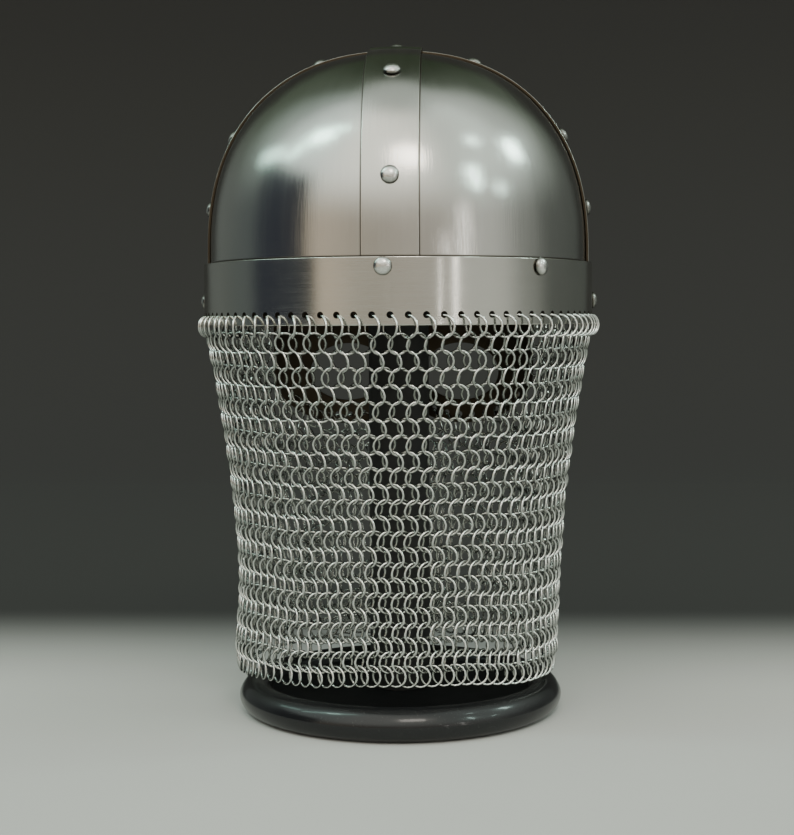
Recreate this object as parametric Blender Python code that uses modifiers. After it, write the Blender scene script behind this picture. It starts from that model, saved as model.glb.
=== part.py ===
"""Viking spectacle helmet with a mail curtain, on a plain round stand.

Metres, +Z up. The stand's underside is at z = 0 on the Z axis, and the helmet faces -Y.
The bowl's outer surface is a superellipse dome on an oval plan. Every sheet is given by its
distance outside that surface, so that the layers lie on one another with a small gap.
"""
import math

import bmesh
import bpy
import numpy as np
from mathutils import Matrix, Vector

# Sheet metal
GAP = 0.0003
SHEET = 0.0015
LAYER = SHEET + GAP

# Bowl
BOWL_HALF_WIDTH = 0.0954
BOWL_HALF_DEPTH = 0.1098
DOME_START = 0.2342
DOME_HEIGHT = 0.1003
DOME_POWER = 2.31
BOWL_RIM = 0.2063
BOWL_COLUMNS = 40
DOME_ROWS = 9

# Bands over the bowl
BAND_WIDTH = 0.0256
BAND_END = 0.2058
BAND_ROWS = 14
CROWN_STEPS = (0.0075, 0.0155, 0.0225)

# Brow band
BROW_BOTTOM = 0.1985
BROW_TOP = 0.2293
TENT_FLAT = 0.0150
TENT_RAMP = 0.006

# Holes for the mail
MAIL_COLUMNS = 82
HOLE_HEIGHT = 0.2033
HOLE_RADIUS = 0.0016
HOLE_SIDES = 6

# Spectacle guard, seen from the front
GUARD_SHEET = 0.002
GUARD_HALF_WIDTH = 0.073
EYE_X = 0.0325
EYE_Z = 0.1708
EYE_HALF_WIDTH = 0.0215
EYE_HALF_HEIGHT = 0.0165
LOBE_HALF_WIDTH = GUARD_HALF_WIDTH - EYE_X
LOBE_HALF_HEIGHT = 0.030
GUARD_TOP = 0.2208
GUARD_TOP_DROP = 0.0095
NOSE_HALF_WIDTH = 0.0115
NOSE_END_HALF_WIDTH = 0.0130
NOSE_TIP = 0.1143
NOSE_RISE = 0.011
NOSE_SPREAD = 0.024
NOSE_RISE_TOP = 0.1893
NOSE_RISE_FULL = 0.1533
GUARD_HOLE_INSET = 0.0050
GUARD_HOLE_REACH = 0.066
GUARD_COLUMN_STEPS = (0.0035, 0.0075, 0.011, 0.015, 0.021, 0.030, 0.039, 0.048, 0.057, 0.066, 0.0745)

# Rivets
RIVET_HEAD_RADIUS = 0.00425
RIVET_HEAD_HEIGHT = 0.0028
RIVET_SHANK_RADIUS = 0.0014
RIVET_TAIL_RADIUS = 0.0026
RIVET_TAIL_HEIGHT = 0.0010
RIVET_SEAT = 0.0002
RIVET_TAIL_SEAT = 0.0006
RIVET_HOLE_RADIUS = 0.0020
RIVET_SIDES = 8

# Mail curtain
MAIL_TOP = 0.1979
MAIL_TOP_HALF = (0.0980, 0.1128)
MAIL_HEM_HALF = (0.0785, 0.0710)
MAIL_TOP_THICKNESS = 0.0048
MAIL_HEM_THICKNESS = 0.0086
MAIL_HEM_SIDE = 0.0213
MAIL_HEM_BACK = 0.0258
MAIL_PULL = 1.9
MAIL_FRONT_HANG = 0.1413
MAIL_EDGE_GAP = 0.0006
MAIL_ROWS = 6

# Stand
BASE_PROFILE = (
    (0.0000, 0.0105),
    (0.0665, 0.0105),
    (0.0690, 0.0145),
    (0.0745, 0.0165),
    (0.0800, 0.0146),
    (0.0835, 0.0088),
    (0.0820, 0.0030),
    (0.0775, 0.0000),
    (0.0000, 0.0000),
)
BASE_RECESS = 0.0105
POST_RADIUS = 0.0155
PAD_RADIUS = 0.030
PAD_THICKNESS = 0.012
PAD_CLEARANCE = 0.0036

STEEL = ((0.56, 0.55, 0.52), 0.32, 1.0)
BRIGHT_STEEL = ((0.72, 0.71, 0.68), 0.25, 1.0)
MAIL_STEEL = ((0.62, 0.64, 0.60), 0.35, 1.0)
BLACK_GLOSS = ((0.012, 0.012, 0.013), 0.12, 0.0)
BLACK_SATIN = ((0.015, 0.015, 0.015), 0.55, 0.0)

for old in list(bpy.data.objects):
    bpy.data.objects.remove(old, do_unlink=True)

parts = bpy.data.collections.new("viking_spectacle_helmet")
cutters = bpy.data.collections.new("cutters")
bpy.context.scene.collection.children.link(parts)
bpy.context.scene.collection.children.link(cutters)


def finish_piece(obj, look):
    """Give a piece its own material and put it in the helmet's collection."""
    colour, roughness, metallic = look
    material = bpy.data.materials.new(obj.name)
    material.use_nodes = True
    shader = material.node_tree.nodes["Principled BSDF"]
    shader.inputs["Base Color"].default_value = (*colour, 1.0)
    shader.inputs["Roughness"].default_value = roughness
    shader.inputs["Metallic"].default_value = metallic
    obj.data.materials.clear()
    obj.data.materials.append(material)
    obj.data.shade_smooth()
    obj.data.set_sharp_from_angle(angle=math.radians(35))
    parts.objects.link(obj)
    return obj


def make_cutter(name, bm):
    """Turn a bmesh of closed solids into one hidden cutter object."""
    mesh = bpy.data.meshes.new(name)
    bm.to_mesh(mesh)
    bm.free()
    cutter = bpy.data.objects.new(name, mesh)
    cutter.hide_render = True
    cutter.display_type = "WIRE"
    cutters.objects.link(cutter)
    return cutter


def cut(obj, cutter, operation="DIFFERENCE"):
    """Add an exact Boolean modifier."""
    boolean = obj.modifiers.new(operation.lower(), "BOOLEAN")
    boolean.object = cutter
    boolean.operation = operation
    boolean.solver = "EXACT"


def grid_mesh(name, columns, rows, place, weld=False):
    """Make a grid mesh and move each of its points to place(column value, row value)."""
    bm = bmesh.new()
    across = len(columns) - 1
    along = len(rows) - 1
    bmesh.ops.create_grid(bm, x_segments=across, y_segments=along, size=0.5)
    for vertex in bm.verts:
        column = columns[round((vertex.co.x + 0.5) * across)]
        row = rows[round((vertex.co.y + 0.5) * along)]
        vertex.co = place(column, row)
    if weld:
        bmesh.ops.remove_doubles(bm, verts=bm.verts, dist=0.00001)
    mesh = bpy.data.meshes.new(name)
    bm.to_mesh(mesh)
    bm.free()
    return bpy.data.objects.new(name, mesh)


def thicken(obj, thickness):
    """Give an open sheet its thickness, inwards from the surface that was drawn."""
    solidify = obj.modifiers.new("thickness", "SOLIDIFY")
    solidify.thickness = thickness
    solidify.offset = -1.0
    solidify.use_even_offset = True


def turned(name, profile, steps, look):
    """Spin a closed profile of (radius, height) points round Z."""
    bm = bmesh.new()
    chain = [bm.verts.new((radius, 0.0, height)) for radius, height in profile]
    for first, second in zip(chain, chain[1:]):
        bm.edges.new((first, second))
    mesh = bpy.data.meshes.new(name)
    bm.to_mesh(mesh)
    bm.free()
    obj = bpy.data.objects.new(name, mesh)
    screw = obj.modifiers.new("turn", "SCREW")
    screw.steps = steps
    screw.render_steps = steps
    screw.use_merge_vertices = True
    screw.merge_threshold = 0.00001
    return finish_piece(obj, look)


def ramp(distance, flat, width):
    """1 up to flat, falling in a straight line to 0 at flat + width."""
    return min(max((flat + width - abs(distance)) / width, 0.0), 1.0)


def bowl_normal(x, y, z):
    """Outward normal of the bowl's outer surface."""
    plan = math.hypot(x / BOWL_HALF_WIDTH, y / BOWL_HALF_DEPTH)
    lift = max(z - DOME_START, 0.0) / DOME_HEIGHT
    pull = plan ** (DOME_POWER - 2.0) if plan > 0.0 else 0.0
    return Vector((
        pull * x / BOWL_HALF_WIDTH ** 2,
        pull * y / BOWL_HALF_DEPTH ** 2,
        lift ** (DOME_POWER - 1.0) / DOME_HEIGHT,
    )).normalized()


def off_bowl(x, y, z, distance):
    """The point at a distance outside the bowl's outer surface."""
    return Vector((x, y, z)) + bowl_normal(x, y, z) * distance


def rim_point(angle, z, distance):
    """A point at a distance outside the bowl's upright wall, angle measured from +X."""
    x = BOWL_HALF_WIDTH * math.cos(angle)
    y = BOWL_HALF_DEPTH * math.sin(angle)
    wall_normal = bowl_normal(x, y, DOME_START)
    return Vector((x, y, z)) + wall_normal * distance


def dome_ring(tilt):
    """Plan scale and height of the bowl's surface at an angle above the dome's start."""
    plan = max(math.cos(tilt), 0.0) ** (2.0 / DOME_POWER)
    rise = math.sin(tilt) ** (2.0 / DOME_POWER)
    return plan, DOME_START + DOME_HEIGHT * rise


def even_tilts(start, end, count, half):
    """Angles up the dome whose points are evenly spaced along its section."""
    fine = np.linspace(start, end, 401)
    section = np.array([dome_ring(tilt) for tilt in fine])
    steps = np.hypot(np.diff(section[:, 0]) * half, np.diff(section[:, 1]))
    length = np.concatenate(([0.0], np.cumsum(steps)))
    return [float(np.interp(share * length[-1], length, fine)) for share in np.linspace(0.0, 1.0, count + 1)]


def quarter_angles(near_side, near_back, between):
    """Angles from +X to +Y, with columns at given distances from both planes of symmetry."""
    start = [math.asin(d / BOWL_HALF_DEPTH) for d in near_side]
    end = [math.pi / 2 - math.asin(d / BOWL_HALF_WIDTH) for d in reversed(near_back)]
    middle = np.linspace(start[-1], end[0], between + 1)[1:-1]
    return start + list(middle) + end


def round_angles(near, between):
    """Columns all the way round, with the same distances at all four band centres."""
    quarter = quarter_angles(near, near, between)
    half = quarter + [math.pi - angle for angle in reversed(quarter[:-1])]
    return half + [angle + math.pi for angle in half[1:]]


def skull_bowl():
    """One dome from the rim to the crown."""
    angles = list(np.linspace(0.0, 2.0 * math.pi, BOWL_COLUMNS + 1))
    rows = [BOWL_RIM - DOME_START] + even_tilts(0.0, math.pi / 2, DOME_ROWS, BOWL_HALF_DEPTH)

    def place(angle, row):
        if row < 0.0:
            return rim_point(angle, DOME_START + row, 0.0)
        plan, height = dome_ring(row)
        x = BOWL_HALF_WIDTH * plan * math.cos(angle)
        y = BOWL_HALF_DEPTH * plan * math.sin(angle)
        return Vector((x, y, height))

    bowl = grid_mesh("skull_bowl", angles, rows, place, weld=True)
    thicken(bowl, SHEET)
    cut(bowl, rivet_holes)
    return finish_piece(bowl, STEEL)


def band_rows(half_along):
    """Rows of a band from end to end: which side of the crown, and the angle up the dome.

    An angle of None is the band's end, down on the upright wall.
    """
    tilts = [math.acos((step / half_along) ** (DOME_POWER / 2)) for step in CROWN_STEPS]
    tilts += even_tilts(tilts[-1], 0.0, BAND_ROWS, half_along)[1:] + [None]
    return [(-1.0, tilt) for tilt in reversed(tilts)] + [(1.0, math.pi / 2)] + [(1.0, tilt) for tilt in tilts]


def band_point(across, row, half_across, half_along):
    """The bowl's point under a band, as (across, along, height).

    On the dome it is where a line from the dome's centre, shifted across, meets the surface.
    """
    side, tilt = row
    offset = across / half_across
    if tilt is None:
        return across, side * half_along * math.sqrt(1.0 - offset ** 2), BAND_END
    plan, ring_height = dome_ring(tilt)
    rise = (ring_height - DOME_START) / DOME_HEIGHT
    low, high = 0.0, 1.0
    for _ in range(40):
        middle = (low + high) / 2
        ring = math.hypot(offset, plan * middle) ** DOME_POWER
        if ring + (rise * middle) ** DOME_POWER < 1.0:
            low = middle
        else:
            high = middle
    return across, side * half_along * plan * middle, DOME_START + DOME_HEIGHT * rise * middle


def side_band():
    """A flat band over the crown from ear to ear."""
    half = BAND_WIDTH / 2
    columns = [half, half / 3, -half / 3, -half]

    def place(across, row):
        y, x, z = band_point(across, row, BOWL_HALF_DEPTH, BOWL_HALF_WIDTH)
        return off_bowl(x, y, z, LAYER)

    obj = grid_mesh("side_band", columns, band_rows(BOWL_HALF_WIDTH), place)
    thicken(obj, SHEET)
    cut(obj, rivet_holes)
    return finish_piece(obj, STEEL)


def front_back_band():
    """A flat band over the crown from brow to nape, lifted where it crosses the side band."""
    half = BAND_WIDTH / 2
    columns = [-half, -half / 3, half / 3, half]

    def place(across, row):
        x, y, z = band_point(across, row, BOWL_HALF_WIDTH, BOWL_HALF_DEPTH)
        near_crown = ramp(y, CROWN_STEPS[1], CROWN_STEPS[2] - CROWN_STEPS[1])
        return off_bowl(x, y, z, LAYER + LAYER * near_crown)

    obj = grid_mesh("front_back_band", columns, band_rows(BOWL_HALF_DEPTH), place)
    thicken(obj, SHEET)
    cut(obj, rivet_holes)
    return finish_piece(obj, STEEL)


def brow_outside(angle):
    """How far the brow band's outer face stands outside the bowl: it rides over the bands."""
    x = BOWL_HALF_WIDTH * math.cos(angle)
    y = BOWL_HALF_DEPTH * math.sin(angle)
    return LAYER + LAYER * ramp(min(abs(x), abs(y)), TENT_FLAT, TENT_RAMP)


def brow_band():
    """The wide band round the rim, drilled for the mail."""
    angles = round_angles((0.0, 0.0075, TENT_FLAT, TENT_FLAT + TENT_RAMP), 9)

    def place(angle, z):
        return rim_point(angle, z, brow_outside(angle))

    obj = grid_mesh("brow_band", angles, [BROW_BOTTOM, BROW_TOP], place, weld=True)
    thicken(obj, SHEET)
    cut(obj, rivet_holes)
    cut(obj, brow_holes)
    return finish_piece(obj, STEEL)


def mail_angles():
    """Angle of each mail column, evenly spaced along the rim's oval from the back centre."""
    fine = np.linspace(math.pi / 2, math.pi / 2 + 2 * math.pi, 2001)
    x = BOWL_HALF_WIDTH * np.cos(fine)
    y = BOWL_HALF_DEPTH * np.sin(fine)
    length = np.concatenate(([0.0], np.cumsum(np.hypot(np.diff(x), np.diff(y)))))
    wanted = np.arange(MAIL_COLUMNS) * length[-1] / MAIL_COLUMNS
    return [float(np.interp(w, length, fine)) for w in wanted]


def guard_outside(angle, z):
    """How far the guard's outer face stands outside the bowl, with the ridge of the nose."""
    x = BOWL_HALF_WIDTH * math.cos(angle)
    across = math.cos(min(abs(x) / NOSE_SPREAD, 1.0) * math.pi / 2) ** 2
    down = min(max((NOSE_RISE_TOP - z) / (NOSE_RISE_TOP - NOSE_RISE_FULL), 0.0), 1.0)
    ridge = NOSE_RISE * across * down * down * (3.0 - 2.0 * down)
    return brow_outside(angle) + GAP + GUARD_SHEET + ridge


def guard_edge(x):
    """Height of the guard's lower edge under the eyes, at a distance from the middle."""
    share = min(abs(abs(x) - EYE_X) / LOBE_HALF_WIDTH, 1.0)
    return EYE_Z - LOBE_HALF_HEIGHT * math.sqrt(1.0 - share ** 2)


def guard_outline():
    """Half of the guard's outline, from its top middle round to the tip of the nose."""
    points = []
    for x in np.linspace(0.0, GUARD_HALF_WIDTH, 9):
        drop = GUARD_TOP_DROP * ((x - EYE_X) / LOBE_HALF_WIDTH) ** 2
        points.append((float(x), GUARD_TOP - drop))
    join = math.acos((NOSE_HALF_WIDTH - EYE_X) / LOBE_HALF_WIDTH)
    for turn in np.linspace(0.0, join, 13):
        x = EYE_X + LOBE_HALF_WIDTH * math.cos(turn)
        z = EYE_Z - LOBE_HALF_HEIGHT * math.sin(turn)
        points.append((x, z))
    tip_centre = NOSE_TIP + NOSE_END_HALF_WIDTH * 0.7
    for turn in np.linspace(0.0, math.pi / 2, 5):
        x = NOSE_END_HALF_WIDTH * math.cos(turn)
        points.append((x, tip_centre - (tip_centre - NOSE_TIP) * math.sin(turn)))
    return points


def guard_blank():
    """A thick flat plate of the guard's outline with the eye holes, used to cut the sheet."""
    half = guard_outline()
    left = [(-x, z) for x, z in reversed(half[1:-1])]
    loops = [half + left]
    for side in (-1.0, 1.0):
        loop = []
        for turn in np.linspace(0.0, 2.0 * math.pi, 19)[:-1]:
            x = side * EYE_X + EYE_HALF_WIDTH * math.cos(turn)
            loop.append((x, EYE_Z + EYE_HALF_HEIGHT * math.sin(turn)))
        loops.append(loop)
    curve = bpy.data.curves.new("guard_outline", "CURVE")
    curve.dimensions = "2D"
    curve.fill_mode = "BOTH"
    curve.extrude = 0.06
    for loop in loops:
        spline = curve.splines.new("POLY")
        spline.points.add(len(loop) - 1)
        spline.use_cyclic_u = True
        for point, (x, z) in zip(spline.points, loop):
            point.co = (x, z, 0.0, 1.0)
    drawn = bpy.data.objects.new("guard_outline", curve)
    cutters.objects.link(drawn)
    drawn.matrix_world = Matrix.Translation((0.0, -0.10, 0.0)) @ Matrix.Rotation(math.pi / 2, 4, "X")
    bpy.context.view_layer.update()
    evaluated = drawn.evaluated_get(bpy.context.evaluated_depsgraph_get())
    bm = bmesh.new()
    bm.from_mesh(bpy.data.meshes.new_from_object(evaluated))
    bm.transform(drawn.matrix_world)
    bmesh.ops.remove_doubles(bm, verts=bm.verts, dist=0.00001)
    bpy.data.objects.remove(drawn, do_unlink=True)
    return make_cutter("guard_blank", bm)


def spectacle_guard():
    """Eye and nose guard, one sheet riveted over the front of the brow band."""
    front = -math.pi / 2
    turns = [math.asin(d / BOWL_HALF_WIDTH) for d in GUARD_COLUMN_STEPS]
    angles = [front - t for t in reversed(turns)] + [front] + [front + t for t in turns]
    heights = list(np.linspace(NOSE_TIP - 0.003, GUARD_TOP + 0.003, 10))

    def place(angle, z):
        return rim_point(angle, z, guard_outside(angle, z))

    obj = grid_mesh("spectacle_guard", angles, heights, place)
    thicken(obj, GUARD_SHEET)
    cut(obj, guard_blank(), "INTERSECT")
    cut(obj, rivet_holes)
    cut(obj, guard_holes)
    return finish_piece(obj, STEEL)


def hole_cutter(name, places, radius, sides, length=0.030):
    """Closed rods along the given directions, joined in one cutter."""
    bm = bmesh.new()
    for point, direction in places:
        turn = direction.to_track_quat("Z", "Y").to_matrix().to_4x4()
        bmesh.ops.create_cone(
            bm, cap_ends=True, segments=sides, radius1=radius, radius2=radius,
            depth=length, matrix=Matrix.Translation(point) @ turn,
        )
    return make_cutter(name, bm)


def mail_hole_places():
    """Holes along the brow band's lower edge, and along the guard's edge under the eyes."""
    brow = []
    guard = []
    for angle in mail_angles():
        x = BOWL_HALF_WIDTH * math.cos(angle)
        in_front = math.sin(angle) < 0.0
        direction = bowl_normal(x, BOWL_HALF_DEPTH * math.sin(angle), DOME_START)
        if in_front and abs(x) < GUARD_HALF_WIDTH:
            if NOSE_HALF_WIDTH + HOLE_RADIUS < abs(x) < GUARD_HOLE_REACH:
                inner = LOBE_HALF_WIDTH - GUARD_HOLE_INSET
                share = (abs(x) - EYE_X) / inner
                drop = (LOBE_HALF_HEIGHT - GUARD_HOLE_INSET) * math.sqrt(1.0 - share ** 2)
                guard.append((rim_point(angle, EYE_Z - drop, LAYER), direction))
        else:
            brow.append((rim_point(angle, HOLE_HEIGHT, LAYER), direction))
    return brow, guard


def on_band(tilt_degrees, over_crown, side):
    """Surface point on a band's middle line at an angle above the dome's start."""
    plan, height = dome_ring(math.radians(tilt_degrees))
    if over_crown == "y":
        return (0.0, side * BOWL_HALF_DEPTH * plan, height)
    return (side * BOWL_HALF_WIDTH * plan, 0.0, height)


def on_rim(degrees, height):
    """Surface point on the upright wall at an angle from +X."""
    angle = math.radians(degrees)
    return (BOWL_HALF_WIDTH * math.cos(angle), BOWL_HALF_DEPTH * math.sin(angle), height)


def on_guard(x, height):
    """Surface point on the upright wall behind a place on the guard."""
    y = -BOWL_HALF_DEPTH * math.sqrt(1.0 - (x / BOWL_HALF_WIDTH) ** 2)
    return (x, y, height)


def rivet_places():
    """Surface point and outer face distance of every rivet."""
    over_bands = 2 * LAYER
    over_brow_and_guard = LAYER + GAP + GUARD_SHEET
    places = [(on_band(90.0, "y", 1.0), over_bands)]
    for side in (1.0, -1.0):
        for tilt in (51.8, 15.1):
            places.append((on_band(tilt, "y", side), LAYER))
    for side in (1.0, -1.0):
        for tilt in (69.5, 32.8, 10.7):
            places.append((on_band(tilt, "x", side), LAYER))
    places.append((on_rim(88.2, 0.2251), over_bands))
    places.append((on_rim(135.0, 0.2255), LAYER))
    places.append((on_rim(0.0, 0.2105), over_bands))
    places.append((on_rim(180.0, 0.2105), over_bands))
    places.append((on_rim(-90.0, 0.2236), over_bands))
    places.append((on_guard(0.0, 0.2095), LAYER + over_brow_and_guard))
    for side in (1.0, -1.0):
        places.append((on_guard(side * EYE_X, 0.2118), over_brow_and_guard))
        places.append((on_guard(side * 0.0635, 0.2093), over_brow_and_guard))
    return places


def rivet(name, point, outside):
    """A domed head, a shank through all layers and a low formed tail inside the bowl."""
    seat = outside + RIVET_SEAT
    tail = -SHEET - RIVET_TAIL_SEAT
    profile = (
        (0.0, seat + RIVET_HEAD_HEIGHT),
        (RIVET_HEAD_RADIUS * 0.66, seat + RIVET_HEAD_HEIGHT * 0.74),
        (RIVET_HEAD_RADIUS, seat),
        (RIVET_SHANK_RADIUS, seat),
        (RIVET_SHANK_RADIUS, tail),
        (RIVET_TAIL_RADIUS, tail),
        (0.0, tail - RIVET_TAIL_HEIGHT),
    )
    obj = turned(name, profile, RIVET_SIDES, BRIGHT_STEEL)
    obj.location = point
    obj.rotation_mode = "QUATERNION"
    obj.rotation_quaternion = bowl_normal(*point).to_track_quat("Z", "Y")
    return obj


def mail_top(x, in_front):
    """Height where the mail begins: under the brow band, or under the guard's edge."""
    if not in_front or abs(x) > GUARD_HALF_WIDTH + 0.0012:
        return MAIL_TOP
    return guard_edge(x) - MAIL_EDGE_GAP


def mail_centre(angle, z):
    """Middle of the mail's thickness, and its thickness, at an angle and a height.

    The mail hangs straight as far down as the guard's edge and draws in below it, fast at
    first and then upright at the hem: share = 1 - (1 - depth) to the power MAIL_PULL.
    """
    facing = max(-math.sin(angle), 0.0)
    hang = MAIL_TOP + (MAIL_FRONT_HANG - MAIL_TOP) * min(max((facing - 0.35) / 0.4, 0.0), 1.0)
    depth = min(max((hang - z) / (hang - MAIL_HEM_SIDE), 0.0), 1.0)
    share = 1.0 - (1.0 - depth) ** MAIL_PULL
    half_x = MAIL_TOP_HALF[0] + (MAIL_HEM_HALF[0] - MAIL_TOP_HALF[0]) * share
    half_y = MAIL_TOP_HALF[1] + (MAIL_HEM_HALF[1] - MAIL_TOP_HALF[1]) * share
    thickness = MAIL_TOP_THICKNESS + (MAIL_HEM_THICKNESS - MAIL_TOP_THICKNESS) * share
    return half_x, half_y, thickness


def mail_aventail():
    """The mail as one hollow curtain wall, closed all the way round."""
    front = -math.pi / 2
    steps = [0.0, 0.012, 0.022, EYE_X, 0.044, 0.055, 0.0640, 0.0700, 0.0730, 0.0745]
    turns = [math.asin(s / BOWL_HALF_WIDTH) for s in steps]
    side_turns = list(np.linspace(turns[-1], math.pi, 15)[1:])
    half = turns + side_turns
    angles = [front + t for t in reversed(half)] + [front - t for t in half[1:]]
    outer = [(share, 0.5) for share in np.linspace(0.0, 1.0, MAIL_ROWS + 1)]
    inner = [(share, -0.5) for share in np.linspace(1.0, 0.0, MAIL_ROWS + 1)]
    loop = outer + inner + outer[:1]

    def place(angle, row):
        down, side = row
        x = BOWL_HALF_WIDTH * math.cos(angle)
        top = mail_top(x, math.sin(angle) < 0.0)
        bottom = MAIL_HEM_SIDE + (MAIL_HEM_BACK - MAIL_HEM_SIDE) * math.sin(angle) ** 2
        z = top + (bottom - top) * down
        half_x, half_y, thickness = mail_centre(angle, z)
        outward = Vector((math.cos(angle) / half_x, math.sin(angle) / half_y, 0.0)).normalized()
        centre = Vector((half_x * math.cos(angle), half_y * math.sin(angle), z))
        return centre + outward * thickness * side

    obj = grid_mesh("mail_aventail", angles, loop, place, weld=True)
    return finish_piece(obj, MAIL_STEEL)


def stand():
    """Foot with a thick rounded rim, post and crown pad."""
    turned("stand_base", BASE_PROFILE, 32, BLACK_GLOSS)
    pad_top = []
    for radius in np.linspace(0.0, PAD_RADIUS, 5):
        share = (radius / BOWL_HALF_WIDTH) ** DOME_POWER
        height = DOME_START + DOME_HEIGHT * (1.0 - share) ** (1.0 / DOME_POWER)
        pad_top.append((float(radius), height - PAD_CLEARANCE))
    pad_bottom = pad_top[-1][1] - PAD_THICKNESS
    post = (
        (0.0, pad_bottom - GAP),
        (POST_RADIUS, pad_bottom - GAP),
        (POST_RADIUS, BASE_RECESS + GAP),
        (0.0, BASE_RECESS + GAP),
    )
    turned("stand_post", post, 24, BLACK_SATIN)
    pad = pad_top + [(PAD_RADIUS, pad_bottom), (0.0, pad_bottom)]
    turned("stand_pad", pad, 24, BLACK_SATIN)


rivet_list = rivet_places()
rivet_holes = hole_cutter(
    "rivet_holes", [(Vector(point), bowl_normal(*point)) for point, _ in rivet_list],
    RIVET_HOLE_RADIUS, RIVET_SIDES,
)
brow_places, guard_places = mail_hole_places()
brow_holes = hole_cutter("brow_holes", brow_places, HOLE_RADIUS, HOLE_SIDES, length=0.020)
guard_holes = hole_cutter("guard_holes", guard_places, HOLE_RADIUS, HOLE_SIDES)

skull_bowl()
side_band()
front_back_band()
brow_band()
spectacle_guard()
for number, (point, outside) in enumerate(rivet_list, start=1):
    rivet(f"rivet_{number:02d}", point, outside)
mail_aventail()
stand()
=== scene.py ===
import math

import bpy
import numpy as np
from mathutils import Euler, Matrix


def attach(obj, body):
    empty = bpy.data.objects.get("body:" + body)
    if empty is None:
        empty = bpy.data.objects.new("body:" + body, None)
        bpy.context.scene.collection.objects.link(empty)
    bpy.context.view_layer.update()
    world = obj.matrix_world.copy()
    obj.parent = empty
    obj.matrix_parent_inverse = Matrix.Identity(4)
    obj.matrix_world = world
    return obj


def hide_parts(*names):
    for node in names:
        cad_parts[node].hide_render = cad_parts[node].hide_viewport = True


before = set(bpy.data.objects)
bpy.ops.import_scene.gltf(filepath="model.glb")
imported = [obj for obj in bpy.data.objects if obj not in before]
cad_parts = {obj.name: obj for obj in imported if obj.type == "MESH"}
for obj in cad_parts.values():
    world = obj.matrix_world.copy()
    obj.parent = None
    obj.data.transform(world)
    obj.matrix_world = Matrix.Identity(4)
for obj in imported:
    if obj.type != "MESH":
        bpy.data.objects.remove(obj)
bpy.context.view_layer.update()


# The room: a matt sweep, pale where the helmet stands and charcoal where it curves up behind.
# Soft boxes and a room that is bright overhead and in front, dark at the sides and behind; the
# camera is behind the helmet at the height of its rim.
SWEEP_HALF_WIDTH = 1.2
SWEEP_FRONT = 2.2
SWEEP_BACK = -1.1
SWEEP_RADIUS = 0.7
SWEEP_HEIGHT = 1.6
FADE_START = 0.02
FADE_RUN = 0.26
CAMERA_DISTANCE = 0.837
CAMERA_HEIGHT = 0.2023
CAMERA_SIDE_STEP = math.radians(1.93)
CAMERA_TURN = math.radians(1.983)
CAMERA_PITCH = math.radians(3.55)
CAMERA_ROLL = math.radians(0.3)
PHOTO_WIDTH = 794
FOCAL_PIXELS = 1620
SENSOR_WIDTH = 36.0
LIGHTS_AIM_HEIGHT = 0.2433


class Wire:
    """A shader socket with arithmetic: each operator adds one Math node."""

    def __init__(self, look, socket):
        self.look = look
        self.socket = socket

    def __add__(self, other):
        return self.look.maths("ADD", self, other)

    __radd__ = __add__

    def __sub__(self, other):
        return self.look.maths("SUBTRACT", self, other)

    def __rsub__(self, other):
        return self.look.maths("SUBTRACT", other, self)

    def __mul__(self, other):
        return self.look.maths("MULTIPLY", self, other)

    __rmul__ = __mul__


class Look:
    """One material, or the world: its shader's fixed values, and the nodes that vary some of them."""

    def __init__(self, name, kind=bpy.data.materials, shader="Principled BSDF", **fixed):
        self.material = kind.new(name)
        self.material.use_nodes = True
        self.nodes = self.material.node_tree.nodes
        self.links = self.material.node_tree.links
        self.shader = self.nodes[shader]
        self.vary(**fixed)

    def put(self, socket, value):
        """Link a wire to a socket, or set a plain value on it; three numbers make a colour."""
        if isinstance(value, Wire):
            self.links.new(value.socket, socket)
        elif isinstance(value, tuple) and socket.type == "RGBA":
            socket.default_value = (*value, 1.0)
        else:
            socket.default_value = value

    def node(self, kind, settings=None, inputs=None, output=0):
        """Add a node: settings first, then the values or wires of its sockets."""
        node = self.nodes.new(kind)
        for setting, value in (settings or {}).items():
            setattr(node, setting, value)
        for socket, value in (inputs or {}).items():
            self.put(node.inputs[socket], value)
        return Wire(self, node.outputs[output])

    def maths(self, operation, *parts):
        return self.node("ShaderNodeMath", {"operation": operation}, dict(enumerate(parts)))

    def vector(self, operation, *parts, output=0):
        return self.node("ShaderNodeVectorMath", {"operation": operation}, dict(enumerate(parts)), output)

    def place(self):
        """Object coordinates."""
        return self.node("ShaderNodeTexCoord", output=3)

    def normal(self):
        return self.node("ShaderNodeTexCoord", output=1)

    def on_sheet(self):
        """The piece's own flat coordinates, in metres."""
        return self.node("ShaderNodeUVMap", {"uv_map": "UVMap"})

    def part(self, vector, axis):
        return self.node("ShaderNodeSeparateXYZ", {}, {0: vector}, output=axis)

    def between(self, value, start, end):
        """0 up to the start value, 1 from the end value on, and smooth between."""
        return self.node("ShaderNodeMapRange", {"interpolation_type": "SMOOTHSTEP"}, {
            "Value": value, "From Min": start, "From Max": end})

    def bump(self, height, strength, distance):
        return self.node("ShaderNodeBump", {}, {"Strength": strength, "Distance": distance, "Height": height})

    def noise(self, scale, detail=2.0, place=None):
        """Noise of so many cells per metre, or of three numbers of them for the three axes; on
        Object coordinates unless others are given."""
        scale = scale if isinstance(scale, tuple) else (scale,) * 3
        scaled = self.vector("MULTIPLY", place or self.place(), scale)
        return self.node("ShaderNodeTexNoise", {}, {"Vector": scaled, "Scale": 1.0, "Detail": detail})

    def mixed(self, share, first, second):
        """A colour between two colours, by a share from 0 to 1."""
        return self.node("ShaderNodeMix", {"data_type": "RGBA"}, {0: share, 6: first, 7: second}, output=2)

    def vary(self, **wires):
        """Set the shader's sockets: to a value, or to what changes over the surface."""
        for socket, value in wires.items():
            self.put(self.shader.inputs[socket.replace("_", " ")], value)
        return self


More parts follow.
